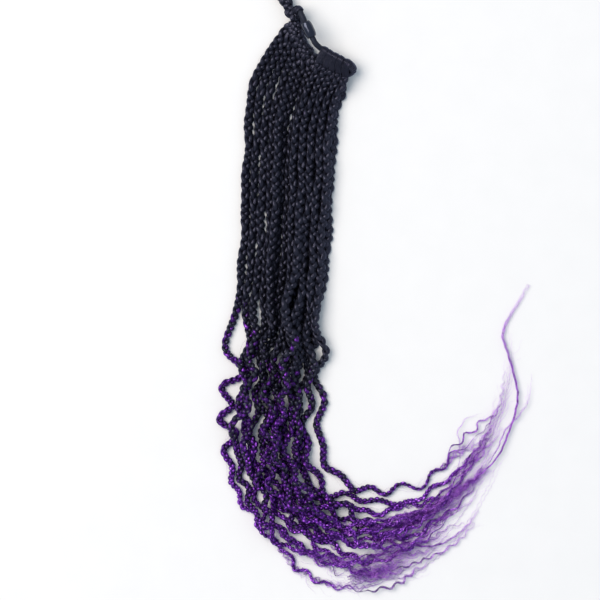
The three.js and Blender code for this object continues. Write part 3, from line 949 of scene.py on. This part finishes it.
# Smooth closed line of the elastic, as points and as the route point that each lies at
def elastic_line():
    sleeve = [SLEEVE_PLACE + unit(SLEEVE_AXIS) * distance for distance in SLEEVE_STRETCH]
    route = np.array([*ELASTIC_BACK, *ELASTIC_FRONT, *sleeve, *ELASTIC_LEFT]) * MM + MIDDLE
    closed = np.concatenate([route[-CORD_LEAD:], route, route[:CORD_LEAD + 1]])
    dense = smooth_line(closed, CORD_PER_SPAN)
    lengths = running_length(dense)
    first = CORD_LEAD * CORD_PER_SPAN
    last = first + len(route) * CORD_PER_SPAN
    wanted = np.linspace(lengths[first], lengths[last], CORD_RINGS, endpoint=False)
    stations = np.interp(wanted, lengths, np.arange(len(dense))) / CORD_PER_SPAN - CORD_LEAD
    return at_lengths(dense, lengths, wanted), stations


# Faces of a grid of points that closes on itself both ways
def ring_faces(rows, columns):
    row = np.arange(rows)[:, None] * columns
    next_row = np.roll(row, -1, axis=0)
    around = np.arange(columns)
    beside = np.roll(around, -1)
    corners = [row + around, row + beside, next_row + beside, next_row + around]
    return np.stack(corners, axis=-1).reshape(-1, 4)


# Elastic with its cover: yarns that cross as two sets of helices
def elastic_piece(material):
    line, _ = elastic_line()
    along = unit(np.roll(line, -1, axis=0) - np.roll(line, 1, axis=0))
    side = unit(np.cross(along, UP))
    up = np.cross(side, along)
    angle = np.arange(CORD_SIDES) / CORD_SIDES * TURN
    turn = np.arange(CORD_RINGS)[:, None] / CORD_RINGS * TURN * KNIT_TURNS
    yarns = np.maximum(np.sin(KNIT_YARNS * angle + turn), np.sin(KNIT_YARNS * angle - turn))
    radius = (CORD_RADIUS - KNIT_HEIGHT / 2 + KNIT_HEIGHT / 2 * yarns)[..., None]
    spoke = side[:, None] * np.cos(angle)[:, None] + up[:, None] * np.sin(angle)[:, None]
    points = (line[:, None] + radius * spoke).reshape(-1, 3)
    faces = ring_faces(CORD_RINGS, CORD_SIDES)
    piece = mesh_piece("elastic_cord", points.tolist(), faces.tolist(), material)
    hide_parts("elastic_band")
    return piece


# Hair wound closely round a stretch of the elastic
def winding_piece(row, material):
    line, stations = elastic_line()
    line = line[(stations > row["first"]) & (stations < row["last"])]
    line = smooth_line(line[::WINDING_STRIDE], WINDING_PER_SPAN)
    side, up = across(line)
    angle = np.linspace(0, TURN * row["turns"], len(line))[:, None]
    out = side * np.cos(angle) + up * np.sin(angle)
    along = unit(np.gradient(line, axis=0))
    tubes = Tubes()
    wound = line + row["reach"] * MM * out
    tubes.add(wound, along, out, WINDING_WIDTH, WINDING_HEIGHT, WINDING_SIDES, 0.0)
    return tubes.piece(row["name"], material)


# Sleeve: a barrel with rounded shoulders and a bore, turned about its axis
def sleeve_piece(material):
    along = np.linspace(-1, 1, SLEEVE_RINGS)
    outer = SLEEVE_END + (SLEEVE_RADIUS - SLEEVE_END) * (1 - np.abs(along) ** BARREL_POWER)
    lip = np.sqrt(1 - np.clip((np.abs(along) - LIP_START) / (1 - LIP_START), 0, 1) ** 2)
    outer = SLEEVE_BORE + (outer - SLEEVE_BORE) * (LIP_SHARE + (1 - LIP_SHARE) * lip)
    profile = [(x * SLEEVE_HALF, r) for x, r in zip(along, outer)]
    profile += [(SLEEVE_HALF, SLEEVE_BORE), (-SLEEVE_HALF, SLEEVE_BORE)]
    axis = unit(SLEEVE_AXIS)
    side = unit(np.cross(axis, UP))
    centre = SLEEVE_PLACE * MM + MIDDLE
    angle = np.arange(SLEEVE_SEGMENTS) / SLEEVE_SEGMENTS * TURN
    spoke = side * np.cos(angle)[:, None] + UP * np.sin(angle)[:, None]
    points = np.concatenate([centre + axis * x + spoke * r for x, r in profile])
    faces = ring_faces(len(profile), SLEEVE_SEGMENTS)
    piece = mesh_piece("gloss_sleeve", points.tolist(), faces.tolist(), material)
    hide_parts("joint_sleeve")
    return piece


# Turning of a plait about its own line: a lean where it is straight, and slow turns where it is crimped
def slow_twist(lean, size, later):
    first, second = random.uniform(0, TURN, 2)
    pace = random.uniform(*TWIST_PACE)
    slow, quick = TWIST_SHARES

    def twist(lengths):
        crimp = smoothstep(*TWIST_RANGE, lengths)
        turn = lengths / pace
        waves = slow * np.sin(turn + first) + quick * np.sin(turn * TWIST_BEAT + second)
        return lean * smoothstep(0, LEAN_GROWS, lengths) * (1 - crimp) + (size + later * crimp) * waves

    return twist


def braid_piece(braid, starts, material):
    fades = random.uniform(*DYE_FADE, STRANDS)
    depths = random.uniform(*DYE_DEPTH, STRANDS)

    def dye_of(strand, lengths):
        taken = depths[strand] * smoothstep(starts[strand], starts[strand] + fades[strand], lengths)
        return taken + TAIL_DYE * smoothstep(*TAIL_DYE_RANGE, lengths)

    tubes = Tubes()
    period = random.uniform(*PLAIT_PERIOD)
    width = random.uniform(*STRAIGHT_WIDTH)
    twist = slow_twist(PLAIT_LEAN, TWIST_SIZE, LATE_TWIST)
    add_plait(tubes, braid, dye_of, STRAND_SIDES, period, width, twist)
    add_core(tubes, braid)
    if braid.front:
        add_loop(tubes, braid)
    add_fray(tubes, braid)
    piece = tubes.piece(braid.name + "_hair", material)
    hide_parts(braid.name)
    return piece


def undyed(_, lengths):
    return np.zeros(len(lengths))


def wrap_piece(material):
    braid = Braid("wrap_braid")
    tubes = Tubes()
    twist = slow_twist(0.0, TWIST_SIZE, 0.0)
    add_plait(tubes, braid, undyed, WRAP_SIDES, WRAP_PERIOD, WRAP_WIDTH, twist)
    add_loop(tubes, braid)
    piece = tubes.piece("wrap_braid_hair", material)
    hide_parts("wrap_braid")
    return piece


def table_top():
    half = TABLE_SIDE / 2
    corners = [(-half, -half, 0), (half, -half, 0), (half, half, 0), (-half, half, 0)]
    mesh = bpy.data.meshes.new("table_top")
    mesh.from_pydata(corners, [], [(0, 1, 2, 3)])
    mesh.materials.append(table_material())
    table = bpy.data.objects.new("table_top", mesh)
    bpy.context.scene.collection.objects.link(table)


def lights():
    world = bpy.data.worlds.new("studio")
    world.use_nodes = True
    sky = world.node_tree.nodes["Background"]
    sky.inputs["Color"].default_value = SKY_COLOUR
    sky.inputs["Strength"].default_value = SKY_STRENGTH
    bpy.context.scene.world = world
    lamp = bpy.data.lights.new("softbox", "AREA")
    lamp.size = SOFTBOX_SIZE
    lamp.energy = SOFTBOX_POWER
    lamp.color = SOFTBOX_COLOUR
    light = bpy.data.objects.new("softbox", lamp)
    x, y, z = SOFTBOX_PLACE
    light.location = (MIDDLE[0] + x, MIDDLE[1] + y, z)
    light.rotation_euler = (-math.atan2(y, z), math.atan2(x, z), 0)
    bpy.context.scene.collection.objects.link(light)


def camera():
    lens = bpy.data.cameras.new("camera")
    lens.sensor_width = SENSOR_WIDTH
    lens.lens = SENSOR_WIDTH * CAMERA_HEIGHT / VIEW_WIDTH
    view = bpy.data.objects.new("camera", lens)
    view.location = (MIDDLE[0], MIDDLE[1], CAMERA_HEIGHT)
    bpy.context.scene.collection.objects.link(view)
    bpy.context.scene.camera = view
    bpy.context.scene.view_settings.view_transform = "Standard"


camera()
lights()
table_top()

ombre = ombre_hair()
black = black_hair()
names = sorted(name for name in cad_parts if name.startswith("braid_"))
braids = [Braid(name) for name in names]
for braid, starts in zip(braids, dye_starts(braids)):
    braid_piece(braid, starts, ombre)

haze = Tubes()
add_haze(haze, braids)
haze.piece("loose_hair", ombre)
wisps = Tubes()
add_wisps(wisps)
wisps.piece("tail_wisps", ombre)
flyaways = Tubes()
add_flyaways(flyaways, braids)
flyaways.piece("stray_hair", ombre)

wrap_piece(black)
for row in WINDINGS:
    winding_piece(row, black)
elastic_piece(elastic_material())
sleeve_piece(sleeve_material())
